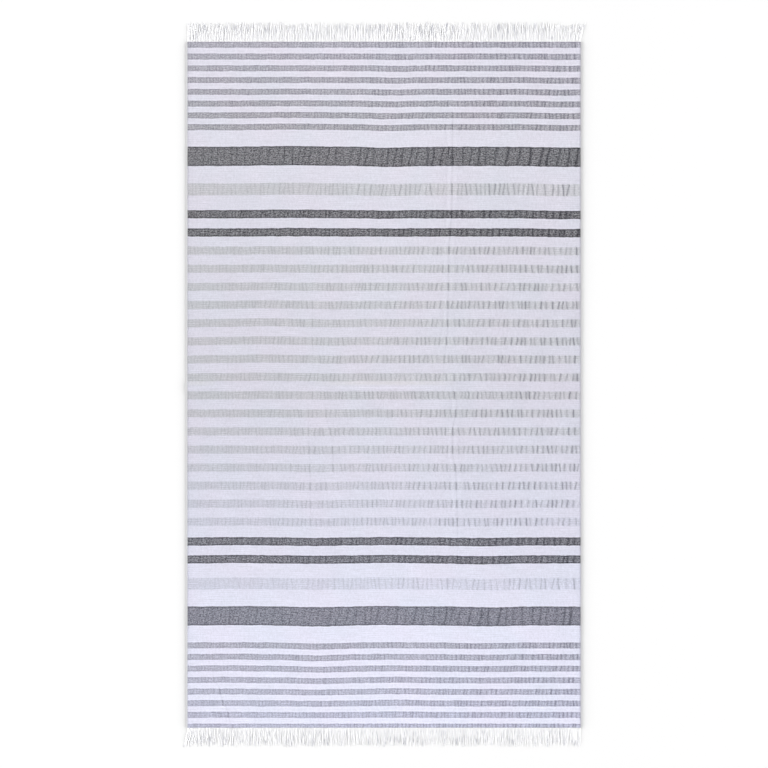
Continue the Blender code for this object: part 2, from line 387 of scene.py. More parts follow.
# Painted shade between the yarns: short gaps along them are painted darker, but not close to their
# roots.
YARN_PAINTED_GAPS = Ramp(0.56, 0.67, 0.0, 0.85)
PAINTED_GAPS_FROM_ROOT = Ramp(0.05, 0.30)
PLY_SLANT = math.radians(35.0)


def linear(red, green, blue):
    """A colour as it is seen on a screen, 0 to 255, as the linear one that a shader takes."""
    def one(value):
        share = value / 255.0
        return share / 12.92 if share <= 0.04045 else ((share + 0.055) / 1.055) ** 2.4
    return (one(red), one(green), one(blue), 1.0)


# What each yarn looks like. A stripe mixes a dark yarn and a light one.
WHITE_GROUND = linear(214, 213, 225)
HEATHERS = {
    "pale": {"Dark yarn": linear(179, 180, 186), "Light yarn": linear(204, 204, 210), "Contrast": 0.6},
    "grey": {"Dark yarn": linear(140, 139, 147), "Light yarn": linear(186, 185, 192), "Contrast": 1.0},
    "dark": {"Dark yarn": linear(60, 59, 64), "Light yarn": linear(149, 149, 154), "Contrast": 0.97},
}
YARN_DULL = linear(253, 253, 255)
YARN_BRIGHT = linear(254, 254, 255)
# the painted shade in the gaps along the yarns
YARN_PAINTED_SHADE = linear(182, 184, 193)

END_TINT = (0.70, 0.71, 1.00, 1.0)  # what the dyed yarns are mixed towards, lighter and cooler, and by how far down
END_TINTS = [
    Ramp(0.0, 0.23, 0.085, 0.0),
    Ramp(1.10, 1.18, 0.0, 0.026, "SMOOTHSTEP"),
    Ramp(1.27, 1.37, 0.0, 0.046, "SMOOTHSTEP"),
    Ramp(1.45, CLOTH_LENGTH, 0.0, 0.125),
]
PALE_COOLED = (1.04, 1.035, 1.085, 1.0)  # what the pale stripes are multiplied by at the near end
PALE_COOLING = Ramp(0.88, 1.12)
WASHED_COOL = (0.985, 0.998, 1.0, 1.0)  # what the cloth's colour is multiplied by, patch by patch
WASHED_WARM = (1.012, 0.994, 1.003, 1.0)
# what the colour is multiplied by beyond the cross fold's crest: a warm painted shade
FOLD_WARM_PAINTED_SHADE = (1.005, 1.0, 0.94, 1.0)

# The cloth reads a little warmer and brighter towards the far end, and brighter and cooler
# towards the near one: how far down it is, and what the colour is multiplied by there.
Tone = namedtuple("Tone", "down red green blue")
TONES = [
    Tone(0.00, 1.11, 1.10, 1.09),
    Tone(0.26, 1.06, 1.06, 1.05),
    Tone(0.36, 1.03, 1.03, 1.02),
    Tone(0.85, 1.00, 1.00, 1.00),
    Tone(1.15, 1.04, 1.05, 1.07),
    Tone(1.45, 1.14, 1.16, 1.20),
    Tone(CLOTH_LENGTH, 1.20, 1.22, 1.26),
]
TONE_MOST = 1.30  # a ramp's colours go up to 1, so it holds the tones as shares of this


# ==== Small helpers ====

def eased(share):
    return share * share * (3.0 - 2.0 * share)


def bump(distance, reach):
    """A soft hump: 1 at its middle, 0 from its reach outwards."""
    share = np.clip(np.abs(distance) / reach, 0.0, 1.0)
    return np.cos(0.5 * np.pi * share) ** 2


def plug(socket, value):
    """Links a socket to another node's, or sets its value."""
    if isinstance(value, bpy.types.NodeSocket):
        socket.id_data.links.new(value, socket)
    else:
        socket.default_value = value


def node(tree, kind, inputs=None, **settings):
    """Adds a node with its settings and its inputs, which go by name or number."""
    made = tree.nodes.new(kind)
    for name, value in settings.items():
        setattr(made, name, value)
    for name, value in (inputs or {}).items():
        plug(made.inputs[name], value)
    return made


def source(tree, kind, inputs=None, **settings):
    """The first output of a node that is linked to none before it."""
    return node(tree, kind, inputs, **settings).outputs[0]


def tree_of(values):
    """The node tree that the sockets among some values are in."""
    return next(value.id_data for value in values if isinstance(value, bpy.types.NodeSocket))


def result(kind, inputs, output=0, **settings):
    """An output of a new node, in the tree of those that it is linked to."""
    return node(tree_of(inputs.values()), kind, inputs, **settings).outputs[output]


def maths(operation, *values):
    return result("ShaderNodeMath", dict(enumerate(values)), operation=operation)


def chained(operation, values):
    return functools.reduce(lambda sofar, value: maths(operation, sofar, value), values)


def added(*values):
    return chained("ADD", values)


def times(*values):
    return chained("MULTIPLY", values)


def less(value, other):
    return maths("SUBTRACT", value, other)


def mapped(value, low, high, at_low=0.0, at_high=1.0, way="LINEAR"):
    return result("ShaderNodeMapRange", {
        "Value": value,
        "From Min": low,
        "From Max": high,
        "To Min": at_low,
        "To Max": at_high,
    }, interpolation_type=way)


def mixed(share, first, second, blend="MIX"):
    """Two colours mixed, by the sockets that a Mix node keeps for colours."""
    return result("ShaderNodeMix", {0: share, 6: first, 7: second}, 2,
                  data_type="RGBA", blend_type=blend)


def brightened(colour, amount):
    return result("ShaderNodeVectorMath", {0: colour, "Scale": amount}, operation="SCALE")


def noise(vector, scale=1.0, detail=1.0, roughness=0.5):
    """A soft random pattern, with most of its values near 0.5."""
    return result("ShaderNodeTexNoise", {
        "Vector": vector,
        "Scale": scale,
        "Detail": detail,
        "Roughness": roughness,
    })


def wavering(vector, waver):
    return mapped(noise(vector, waver.scale, waver.detail), *waver.ramp)


def stretched(vector, stretch):
    """A map drawn out by its own scale across and along."""
    return result("ShaderNodeVectorMath", {0: vector, 1: (*stretch, 1.0)}, operation="MULTIPLY")


def bumped(height, relief, normal=None):
    """The normal of a surface raised by a height, on top of another bump's or on none."""
    depth, strength = relief
    inputs = {"Height": height, "Distance": depth, "Strength": strength}
    if normal:
        inputs["Normal"] = normal
    return result("ShaderNodeBump", inputs)


def parts_of(vector):
    return node(vector.id_data, "ShaderNodeSeparateXYZ", {0: vector}).outputs


def placed(x=0.0, y=0.0, z=0.0):
    return result("ShaderNodeCombineXYZ", {"X": x, "Y": y, "Z": z})


def named_shade(tree, name):
    """A mesh's own attribute, as a shader reads it."""
    return node(tree, "ShaderNodeAttribute", attribute_name=name).outputs["Fac"]


FLOAT = "NodeSocketFloat"
INTEGER = "NodeSocketInt"
VECTOR = "NodeSocketVector"
COLOUR = "NodeSocketColor"


def new_group(name, kind, inputs, outputs):
    """A node group with its named sockets: the tree, its inputs and its output node."""
    tree = bpy.data.node_groups.new(name, kind)
    for label, socket_type, value in inputs:
        socket = tree.interface.new_socket(label, in_out="INPUT", socket_type=socket_type)
        if value is not None:
            socket.default_value = value
    for label, socket_type in outputs:
        tree.interface.new_socket(label, in_out="OUTPUT", socket_type=socket_type)
    return tree, tree.nodes.new("NodeGroupInput").outputs, tree.nodes.new("NodeGroupOutput")


def grouped(group, inputs):
    """A shader node group placed with its own values."""
    return node(tree_of(inputs.values()), "ShaderNodeGroup", inputs, node_tree=group).outputs


def new_material(name, finish):
    """A material with its own finish, its tree and its shader."""
    material = bpy.data.materials.new(name)
    material.use_nodes = True
    shader = material.node_tree.nodes["Principled BSDF"]
    for socket, value in finish.items():
        shader.inputs[socket].default_value = value
    return material, material.node_tree, shader


def add_piece(name, data):
    made = bpy.data.objects.new(name, data)
    bpy.context.scene.collection.objects.link(made)
    return made


# ==== The cloth's shape ====

def crest(crease, along):
    """Where a crease's crest is across its run, and its height, at places along the run."""
    places, across, height = np.array(crease.knots).T
    after = np.clip(np.searchsorted(places, along), 1, len(places) - 1)
    before = after - 1
    share = eased(np.clip((along - places[before]) / (places[after] - places[before]), 0.0, 1.0))
    within = (along > places[0]) & (along < places[-1])
    middle = across[before] + share * (across[after] - across[before])
    return middle, within * (height[before] + share * (height[after] - height[before]))


def crease_lift(crease, along, across):
    middle, height = crest(crease, along)
    return height * bump(across - middle, crease.half_width)


def wrinkle_lift(wrinkle, x, y):
    """A short straight ridge that dies away to both its ends."""
    run_x = wrinkle.x_end - wrinkle.x_start
    run_y = wrinkle.y_end - wrinkle.y_start
    length = math.hypot(run_x, run_y)
    from_x = x - wrinkle.x_start
    from_y = y - wrinkle.y_start
    along = (from_x * run_x + from_y * run_y) / length
    aside = (from_x * run_y - from_y * run_x) / length
    fade = bump(along - length / 2, length / 2)
    return wrinkle.height * fade * bump(aside, wrinkle.half_width)


def fold_lines(x, y):
    """1 in the sharp lines along the lengthwise folds and along the wrinkles, 0 off them."""
    share = np.zeros_like(x)
    for crease in LENGTHWISE_CREASES:
        middle, height = crest(crease, y)
        strength = np.clip(height / FOLD_LINE_FULL, 0.0, 1.0)
        share = np.maximum(share, strength * bump(x - middle, FOLD_LINE))
    for wrinkle in WRINKLES:
        fine = wrinkle._replace(height=wrinkle.height / FOLD_LINE_FULL, half_width=FOLD_LINE)
        share = np.maximum(share, np.clip(wrinkle_lift(fine, x, y), 0.0, 1.0))
    return share


def turned_painted_light(x, y):
    """Where the cross fold gets its painted highlight and where it gets its warm painted shade."""
    share = np.zeros_like(x)
    for stretch in TURNED_STRETCHES:
        middle = (stretch.x_start + stretch.x_end) / 2
        half = (stretch.x_end - stretch.x_start) / 2
        share = np.maximum(share, stretch.share * bump(x - middle, half) ** TURNED_EVENNESS)
    return share * bump(y - TURNED_CREST, TURNED_LINE), share * bump(y - TURNED_FAR, TURNED_BAND)


def oval(place, x, y):
    """A soft hump over an oval place."""
    return bump(np.hypot((x - place.x) / place.reach_x, (y - place.y) / place.reach_y), 1.0)


def lift(x, y):
    """How high the sheet's underside stands off the floor."""
    height = crease_lift(CROSS_FOLD, x, y)
    for crease in LENGTHWISE_CREASES:
        height = height + crease_lift(crease, y, x)
    for wrinkle in WRINKLES:
        height = height + wrinkle_lift(wrinkle, x, y)
    for swell in SWELLS:
        height = height + swell.height * oval(swell, x, y)
    return height


def pulled(x, y):
    """How far the weft is pulled towards the far end. It is straight at both fringes."""
    shift = sum(pull.shift * oval(pull, x, y) for pull in PULLS)
    return shift * np.clip((CLOTH_LENGTH / 2 - np.abs(y)) / PULLS_STOP, 0.0, 1.0)


def stripes():
    """Every stripe as its kind, and where it starts and ends down from the far end."""
    for run in STRIPE_RUNS:
        for number in range(run.count):
            start = run.first + number * run.pitch
            yield run.kind, start, start + run.width


def steps_between(start, end, spacing):
    steps = max(1, round((end - start) / spacing))
    return [start + (end - start) * step / steps for step in range(steps + 1)]


def fine_rows():
    """The fine rows' distances from the far end: close at the stripes' edges, where the puckers
    start and stop, and by the cross fold, and wider apart elsewhere."""
    wanted = steps_between(*CROSS_FOLD_STRETCH, ROW_BY_CROSS_FOLD)
    for _, start, end in stripes():
        inside = steps_between(start + STRIPE_BLEND, end - STRIPE_BLEND, ROW_IN_STRIPE)
        wanted += [start - STRIPE_BLEND, *inside, end + STRIPE_BLEND]
    rows = [0.0, EDGE_ROLL]
    last = CLOTH_LENGTH - EDGE_ROLL
    for row in sorted(wanted):
        if row - rows[-1] > ROW_BETWEEN_STRIPES:
            rows += steps_between(rows[-1], row, ROW_BETWEEN_STRIPES)[1:-1]
        if rows[-1] + CLOSEST_ROWS < row < last - CLOSEST_ROWS:
            rows.append(row)
    return np.array([*rows, last, CLOTH_LENGTH])


def fine_columns():
    inner = CLOTH_WIDTH / 2 - EDGE_ROLL
    steps = steps_between(-inner, inner, FINE_COLUMN)
    return np.array([-CLOTH_WIDTH / 2, *steps, CLOTH_WIDTH / 2])


def held_columns(across, columns, places):
    """The grid's X along a row, with some columns held at places of their own."""
    every = np.arange(len(across))
    held = [0, 1, *columns, every[-2], every[-1]]
    return np.interp(every, held, [*across[:2], *places, *across[-2:]])


def folded_columns(across, down):
    """The fine grid's X, with a column that runs along each lengthwise fold, and what those
    columns are."""
    middles = np.stack([crest(fold, CLOTH_LENGTH / 2 - down)[0] for fold in LENGTHWISE_CREASES])
    columns = [int(np.argmin(np.abs(across - middle))) for middle in middles.mean(axis=1)]
    return np.array([held_columns(across, columns, row) for row in middles.T]), columns


def stripe_folds(middle, fold_columns):
    """The lengthwise folds that run through a stripe's middle: their columns and strengths."""
    folds = []
    for fold, column in zip(LENGTHWISE_CREASES, fold_columns):
        height = crest(fold, np.array([CLOTH_LENGTH / 2 - middle]))[1][0]
        if height > 0.0:
            folds.append((column, min(1.0, height / FOLD_LINE_FULL)))
    return folds


def pucker_creases(look, width, x, chance, folds):
    """A stripe's creases from left to right: the grid column that each one follows, where it
    crosses the stripe's middle, its lean and bow, and its depth as a share of the deepest. A
    lengthwise fold that runs through the stripe is one of them."""
    pitch = look.pitch * math.sqrt(width / USUAL_STRIPE)
    creases = [(column, x[column], 0.0, 0.0, strength) for column, strength in folds]
    taken = np.array([crease[1] for crease in creases])
    place = x[1]
    while True:
        wider = PITCH_AT_LEFT + WIDER_TO_RIGHT * (place / CLOTH_WIDTH + 0.5)
        place += max(CLOSEST_CREASES, pitch * wider * chance.uniform(*PITCH_SPREAD))
        if place > x[-2] - CLOSEST_CREASES:
            return np.array(sorted(creases)).T
        lean = look.lean + chance.uniform(-look.lean_spread, look.lean_spread)
        bow = chance.uniform(-look.bow, look.bow)
        share = SHALLOWEST_CREASE + (1.0 - SHALLOWEST_CREASE) * chance.random()
        if np.all(np.abs(taken - place) > CLEAR_OF_FOLDS):
            creases.append((int(np.argmin(np.abs(x - place))), place, lean, bow, share))


def crease_depths(look, start, across, columns, shares, folds):
    """How deep a stripe's creases are, column by column, with their flanks."""
    to_right = across / CLOTH_WIDTH + 0.5
    share = np.zeros(len(across))
    share[columns] = shares
    beside = np.maximum(np.roll(share, 1), np.roll(share, -1))
    share = np.maximum(share, look.flank * to_right * beside)
    calm = eased(min(1.0, max(0.0, (start - CALMER_FROM) / (CALMER_BY - CALMER_FROM))))
    deepest = look.depth_left + (look.depth_right - look.depth_left) * to_right
    depths = share * deepest * (1.0 - look.calmer * calm)
    for column, strength in folds:
        depths[column] = max(depths[column], FOLD_CREASE_DEPTH * strength)
    return depths


def pucker(across, down):
    """The fine grid's X, with a column that runs along each crease, and how deep the creases are."""
    chance = random.Random(PUCKER_SEED)
    x, fold_columns = folded_columns(across, down)
    depth = np.zeros_like(x)
    for kind, start, end in stripes():
        look = PUCKERS[kind]
        half = (end - start) / 2
        middle = int(np.argmin(np.abs(down - start - half)))
        folds = stripe_folds(start + half, fold_columns)
        columns, places, leans, bows, shares = pucker_creases(look, 2 * half, x[middle], chance, folds)
        columns = columns.astype(int)
        least = LEAST_COLUMN * columns
        depths = crease_depths(look, start, across, columns, shares, folds)
        for row, distance in enumerate(down):
            into = min(distance - start, end - distance) + STRIPE_BLEND
            if into > 0.0:
                from_middle = distance - start - half
                bent = places - leans * from_middle + bows * np.cos(math.pi * from_middle / half)
                bent = np.maximum.accumulate(bent - least) + least
                x[row] = held_columns(across, columns, bent)
                depth[row] = depths * eased(min(1.0, into / (2 * STRIPE_BLEND)))
    return x, depth


def sheet_thickness(across, down):
    """The sheet's thickness over the grid, with its thicker selvedges and its rounded rim."""
    to_side = CLOTH_WIDTH / 2 - np.abs(across)[None, :]
    to_end = np.minimum(down, CLOTH_LENGTH - down)[:, None]
    thickness = SHEET_THICKNESS + SELVEDGE_RISE * bump(to_side, SELVEDGE_WIDTH)
    to_rim = np.minimum(to_side, to_end)
    return thickness * (RIM_SHARE + (1.0 - RIM_SHARE) * np.clip(to_rim / EDGE_ROLL, 0.0, 1.0))


def thinned(count, step):
    """Every so many numbers up to count, and the last one."""
    return sorted({*range(0, count, step), count - 1})


def grid_faces(numbers):
    """The quads between the points of a grid of vertex numbers."""
    corners = (numbers[:-1, :-1], numbers[1:, :-1], numbers[1:, 1:], numbers[:-1, 1:])
    return np.stack(corners, axis=-1).reshape(-1, 4).tolist()


def rim_faces(upper, lower, places, turned):
    """The faces down one side, from the fine edge above to the wide steps below. places says
    which fine point each lower one stands under."""
    upper, lower = upper.tolist(), lower.tolist()
    faces = []
    for step in range(len(lower) - 1):
        above = [upper[n] for n in range(places[step + 1], places[step] - 1, -1)]
        face = [lower[step], lower[step + 1], *above]
        faces.append(face[::-1] if turned else face)
    return faces


def sheet_faces(upper, lower, rows, columns):
    """The faces of the fine top, of the wide underside and of the rim between them."""
    faces = grid_faces(upper) + grid_faces(lower[:, ::-1])
    faces += rim_faces(upper[:, 0], lower[:, 0], rows, False)
    faces += rim_faces(upper[:, -1], lower[:, -1], rows, True)
    faces += rim_faces(upper[0], lower[0], columns, True)
    return faces + rim_faces(upper[-1], lower[-1], columns, False)


def store_weave_map(mesh, flat_places):
    """Keeps each point's place in the flat cloth, across and down from the far end."""
    corners = np.zeros(len(mesh.loops), dtype=np.int32)
    mesh.loops.foreach_get("vertex_index", corners)
    weave_map = mesh.uv_layers.new(name="weave")
    weave_map.data.foreach_set("uv", flat_places[corners].ravel())


def store_shade(mesh, name, values):
    """Keeps a value for each point of the top, and none for the underside."""
    padded = np.zeros(len(mesh.vertices))
    padded[:values.size] = values.ravel()
    mesh.attributes.new(name, "FLOAT", "POINT").data.foreach_set("value", padded)


def build_cloth():
    """The woven sheet as one closed mesh: its fine face up, its plainer underside, and a rim."""
    across = fine_columns()
    down = fine_rows()
    x, creased = pucker(across, down)
    distance = np.tile(down[:, None], (1, len(across)))
    y = CLOTH_LENGTH / 2 - distance
    raised = lift(x, y)
    folded = fold_lines(x, y)
    bright, warm = turned_painted_light(x, y)
    thickness = sheet_thickness(across, down) - np.maximum(creased, FOLD_LINE_DEPTH * folded)
    top = np.stack([x, y + pulled(x, y), raised + thickness], axis=-1)

    columns = thinned(len(across), UNDERSIDE_STEP_ACROSS)
    rows = thinned(len(down), UNDERSIDE_STEP_ALONG)
    coarse = np.ix_(rows, columns)
    under = top[coarse]
    under[:, 0, 0] += SELVEDGE_UNDERCUT
    under[:, -1, 0] -= SELVEDGE_UNDERCUT
    under[..., 2] = raised[coarse]

    upper = np.arange(x.size).reshape(x.shape)
    lower = x.size + np.arange(len(rows) * len(columns)).reshape(len(rows), len(columns))
    mesh = bpy.data.meshes.new("cloth_woven")
    points = np.concatenate([top.reshape(-1, 3), under.reshape(-1, 3)])
    mesh.from_pydata(points.tolist(), [], sheet_faces(upper, lower, rows, columns))
    flat = np.stack([x, distance], axis=-1)
    store_weave_map(mesh, np.concatenate([flat.reshape(-1, 2), flat[coarse].reshape(-1, 2)]))
    # painted shade: each crease's depth, as the share of the painted crease shade that it gets
    store_shade(mesh, "crease_depth", creased / DEEPEST_PAINTED_SHADE)
    # the folds' lines are cut into the sheet and also get painted shade
    store_shade(mesh, "fold_line", folded)
    # the painted highlight along the cross fold's crest
    store_shade(mesh, "fold_painted_highlight", bright)
    # the warm painted shade beyond the cross fold's crest
    store_shade(mesh, "fold_warm_painted_shade", warm)
    mesh.shade_smooth()
    return add_piece("cloth_woven", mesh)


# ==== The cloth's finish ====

def stripe_run_group():
    """A mask that is 1 on a run of equal stripes, and the distance to their nearest edge."""
    tree, given, out = new_group("stripe run", "ShaderNodeTree", [
        ("Down", FLOAT, 0.0),
        ("First", FLOAT, 0.0),
        ("Width", FLOAT, 0.02),
        ("Pitch", FLOAT, 0.04),
        ("Last", FLOAT, 0.0),
        ("Softness", FLOAT, 0.0010),
    ], [("Mask", FLOAT), ("To edge", FLOAT)])
    half = times(given["Width"], 0.5)
    from_middle = less(given["Down"], added(given["First"], half))
    number = maths("ROUND", maths("DIVIDE", from_middle, given["Pitch"]))
    number = maths("MINIMUM", maths("MAXIMUM", number, 0.0), given["Last"])
    off = less(from_middle, times(number, given["Pitch"]))
    inside = less(half, maths("ABSOLUTE", off))
    outer = times(given["Softness"], -1.0)
    plug(out.inputs["Mask"], mapped(inside, outer, given["Softness"], way="SMOOTHSTEP"))
    plug(out.inputs["To edge"], maths("ABSOLUTE", inside))
    return tree


def heather_group():
    """Salt-and-pepper yarn: light and dark flecks, drawn out along the weft."""
    tree, given, out = new_group("heather", "ShaderNodeTree", [
        ("Map", VECTOR, None),
        ("Dark yarn", COLOUR, (0.1, 0.1, 0.1, 1.0)),
        ("Light yarn", COLOUR, (0.5, 0.5, 0.5, 1.0)),
        ("Balance", FLOAT, 0.5),
        ("Contrast", FLOAT, 1.0),
    ], [("Color", COLOUR)])
    flecks = noise(stretched(given["Map"], FLECKS), detail=3.0, roughness=0.65)
    slubs = noise(stretched(given["Map"], SLUBS))
    both = added(flecks, times(slubs, SLUB_SHARE))
    spread = less(both, 0.5 + 0.5 * SLUB_SHARE)
    share = added(times(spread, given["Contrast"], FLECK_SHARPNESS), given["Balance"])
    plug(out.inputs["Color"], mixed(share, given["Dark yarn"], given["Light yarn"]))
    return tree


def thread_group():
    """A plain weave's threads, as a height."""
    tree, given, out = new_group("woven threads", "ShaderNodeTree", [
        ("Map", VECTOR, None),
        ("Warp pitch", FLOAT, WARP_PITCH),
        ("Weft pitch", FLOAT, WEFT_PITCH),
    ], [("Height", FLOAT)])
    x, y, _ = parts_of(given["Map"])
    wander = noise(given["Map"], THREAD_WANDER)
    warp = maths("DIVIDE", x, given["Warp pitch"])
    weft = added(maths("DIVIDE", y, given["Weft pitch"]), wander)
    warp = maths("SINE", times(warp, 2.0 * math.pi))
    weft = maths("SINE", times(weft, 2.0 * math.pi))
    plug(out.inputs["Height"], added(times(warp, WARP_SHARE), weft))
    return tree


def crinkle_group():
    """Small sharp creases that run across the weft, as a height: 1 on the cloth, 0 in a crease."""
    tree, given, out = new_group("crinkle", "ShaderNodeTree", [
        ("Map", VECTOR, None),
        ("Lean", FLOAT, 0.2),
        ("Pitch", FLOAT, 0.008),
        ("Length", FLOAT, 0.04),
        ("Sharpness", FLOAT, CRINKLE_SHARPNESS),
    ], [("Height", FLOAT)])
    x, down, _ = parts_of(given["Map"])
    leant = added(x, times(down, given["Lean"]))
    place = placed(maths("DIVIDE", leant, given["Pitch"]), maths("DIVIDE", down, given["Length"]))
    off = maths("ABSOLUTE", less(noise(place), 0.5))
    height = maths("MINIMUM", times(off, given["Sharpness"]), 1.0)
    plug(out.inputs["Height"], height)
    return tree


def stripe_masks(woven_down):
    """Where each kind of stripe is, and how far the edge of a dark or a grey one is."""
    group = stripe_run_group()
    masks = {}
    to_edge = 1.0
    for run in STRIPE_RUNS:
        made = grouped(group, {
            "Down": woven_down,
            "First": run.first,
            "Width": run.width,
            "Pitch": run.pitch,
            "Last": float(run.count - 1),
        })
        masks[run.kind] = maths("MAXIMUM", masks.get(run.kind, 0.0), made["Mask"])
        if run.kind != "pale":
            to_edge = maths("MINIMUM", to_edge, made["To edge"])
    return masks, to_edge


def dyed(weave, down, masks):
    """The white ground and its stripes of heather yarn, which are mixed towards a lighter, cooler
    colour at both ends.
    """
    heather = heather_group()
    colour = brightened(WHITE_GROUND[:3], wavering(weave, MOTTLE))
    end_tinted = added(*(mapped(down, *fade) for fade in END_TINTS))
    for kind, mask in masks.items():
        stripe = grouped(heather, {"Map": weave, **HEATHERS[kind]})["Color"]
        if kind == "pale":
            stripe = mixed(mapped(down, *PALE_COOLING), stripe, PALE_COOLED, "MULTIPLY")
        colour = mixed(mask, colour, mixed(end_tinted, stripe, END_TINT))
    return colour


def edged(colour, masks, to_edge):
    """The colour, darker just inside a dark or grey stripe's edge and brighter just outside it."""
    tone = mixed(masks["grey"], GROUND_EDGE, GREY_EDGE)
    tone = mixed(masks["dark"], tone, DARK_EDGE)
    return mixed(mapped(to_edge, *EDGE_REACH), colour, tone, "MULTIPLY")


def crinkles(weave):
    """The small creases of every lean together, as a height."""
    group = crinkle_group()
    height = 1.0
    for crinkle in CRINKLES:
        height = maths("MINIMUM", height, grouped(group, {"Map": weave, **crinkle})["Height"])
    return height


def ribs(woven_down, patchy, striped):
    """The heavier picks, which show as faint ribs in some patches more than in others."""
    angle = added(times(woven_down, 2.0 * math.pi / RIB_PITCH), times(patchy, RIB_WANDER))
    return times(
        maths("SINE", angle),
        mapped(patchy, *RIBS_IN_PATCHES),
        mapped(striped, *RIBBED_IN_STRIPES),
    )


def brightness(tree, weave, woven_down, masks, striped, to_right, crinkly):
    """What the colour is multiplied by, place by place, before the painted shade: painted light that is
    brighter between the small creases, along the cross fold's crest and in the middle and dimmer to the
    right, with the pale stripes brighter and the dark ones darker to the right, and the cloth's own
    ribs, patches and streaks.
    """
    patchy = noise(weave, PATCHY.scale, PATCHY.detail)
    off_middle = maths("ABSOLUTE", less(to_right, BRIGHT_MIDDLE))
    tinted = added(times(masks["pale"], PALE_TO_RIGHT), times(masks["dark"], DARK_TO_RIGHT))
    terms = [
        times(crinkly, CRINKLE_PAINTED_LIGHT),
        mapped(to_right, *PAINTED_DIMMING_TO_RIGHT),
        times(mapped(off_middle, *MIDDLE_REACH), mapped(striped, *PAINTED_BRIGHTER_MIDDLE)),
        times(tinted, mapped(to_right, *TINTED_TO_RIGHT)),
        ribs(woven_down, patchy, striped),
        mapped(patchy, *PATCHY.ramp),
        times(named_shade(tree, "fold_painted_highlight"), TURNED_PAINTED_HIGHLIGHT),
    ]
    for stretch in (WARP_STREAKS, WEFT_STREAKS):
        terms.append(mapped(noise(stretched(weave, stretch)), *STREAKED))
    return added(1.0, *terms)


def shade(tree, across, crinkled, crinkly):
    """How much of the painted crease shade shows: in the creases, along the folds' lines and at the
    sides.
    """
    shallow = times(less(1.0, crinkled), crinkly)
    to_side = less(CLOTH_WIDTH / 2, maths("ABSOLUTE", across))
    return added(
        named_shade(tree, "crease_depth"),
        times(shallow, CRINKLE_PAINTED_SHADE),
        times(named_shade(tree, "fold_line"), FOLD_LINE_PAINTED_SHADE),
        mapped(to_side, *SELVEDGE_PAINTED_SHADE),
        mapped(to_side, *RIM_PAINTED_SHADE),
    )


def tone_ramp(down):
    """The slow change of tone down the towel's length."""
    ramp = node(down.id_data, "ShaderNodeValToRGB", {"Fac": maths("DIVIDE", down, CLOTH_LENGTH)})
    stops = ramp.color_ramp.elements
    stops.remove(stops[-1])
    for number, tone in enumerate(TONES):
        stop = stops.new(tone.down / CLOTH_LENGTH) if number else stops[0]
        stop.color = (tone.red / TONE_MOST, tone.green / TONE_MOST, tone.blue / TONE_MOST, 1.0)
    return ramp.outputs["Color"]


def cloth_finish(threads):
    """The striped woven cotton."""
    material, tree, shader = new_material("striped cotton", COTTON)
    weave = source(tree, "ShaderNodeUVMap", uv_map="weave")
    across, down, _ = parts_of(weave)
    woven_down = added(down, wavering(weave, FRAYED), wavering(weave, UNEVEN))
    masks, to_edge = stripe_masks(woven_down)
    striped = chained("MAXIMUM", masks.values())
    to_right = mapped(across, -CLOTH_WIDTH / 2, CLOTH_WIDTH / 2)
    crinkled = crinkles(weave)
    crinkly = times(mapped(striped, *CRINKLED_IN_STRIPES), mapped(to_right, *CRINKLED_TO_RIGHT))

    colour = edged(dyed(weave, down, masks), masks, to_edge)
    bright = brightness(tree, weave, woven_down, masks, striped, to_right, crinkly)
    colour = brightened(colour, bright)
    washed = mixed(wavering(weave, WASHED), WASHED_COOL, WASHED_WARM)
    colour = mixed(1.0, colour, washed, "MULTIPLY")
    # the warm painted shade beyond the cross fold's crest
    colour = mixed(named_shade(tree, "fold_warm_painted_shade"), colour, FOLD_WARM_PAINTED_SHADE, "MULTIPLY")
    # the painted shade of the creases, the folds' lines and the sides
    colour = mixed(shade(tree, across, crinkled, crinkly), colour, PAINTED_CREASE_SHADE, "MULTIPLY")
    colour = brightened(colour, TONE_MOST)
    colour = mixed(1.0, colour, tone_ramp(down), "MULTIPLY")
    plug(shader.inputs["Base Color"], colour)

    woven = bumped(grouped(threads, {"Map": weave})["Height"], THREAD_RELIEF)
    creased = bumped(times(crinkled, crinkly), CRINKLE_RELIEF, woven)
    plug(shader.inputs["Normal"], creased)
    return material


# ==== The fringes ====

def chance_of(given, low, high, draw):
    """A random number for each point, the same in every run."""
    seed = added(given["Seed"], float(draw))
    return result("FunctionNodeRandomValue", {2: low, 3: high, "Seed": seed}, 1, data_type="FLOAT")


def stored(geometry, name, value):
    return result("GeometryNodeStoreNamedAttribute", {
        "Geometry": geometry,
        "Name": name,
        "Value": value,
    }, data_type="FLOAT", domain="POINT")


def named(tree, name):
    return source(tree, "GeometryNodeInputNamedAttribute", {"Name": name}, data_type="FLOAT")


def position(tree):
    return parts_of(source(tree, "GeometryNodeInputPosition"))


def root_points(given, count, y, z):
    """Points spread evenly along the cloth's end."""
    pitch = maths("DIVIDE", given["Width"], count)
    first = less(times(pitch, 0.5), times(given["Width"], 0.5))
    return result("GeometryNodeMeshLine", {
        "Count": count,
        "Start Location": placed(first, y, z),
        "Offset": placed(pitch),
    }, mode="OFFSET")


def strand_lean(tree, given, strands):
    """How far a strand's end leans: it sways with its neighbours and a little on its own, stands
    steady at one corner and fans out over the other."""
    x = position(tree)[0]
    half = times(given["Width"], 0.5)
    wave = result("ShaderNodeTexNoise", {
        "W": added(times(x, LEAN_WAVES), given["Seed"]),
        "Scale": 1.0,
        "Detail": 2.0,
    }, noise_dimensions="1D")
    together = mapped(wave, *SWAY_TOGETHER)
    alone = chance_of(given, -OWN_SWAY, OWN_SWAY, strands.draw)
    to_corner = mapped(x, times(half, FAN_START), half)
    steady = mapped(x, times(half, -1.0), times(half, -STEADY_START))
    sway = times(added(together, alone), strands.sway, less(1.0, to_corner), steady)
    return added(sway, times(maths("POWER", to_corner, 2.0), given["Fan"]))


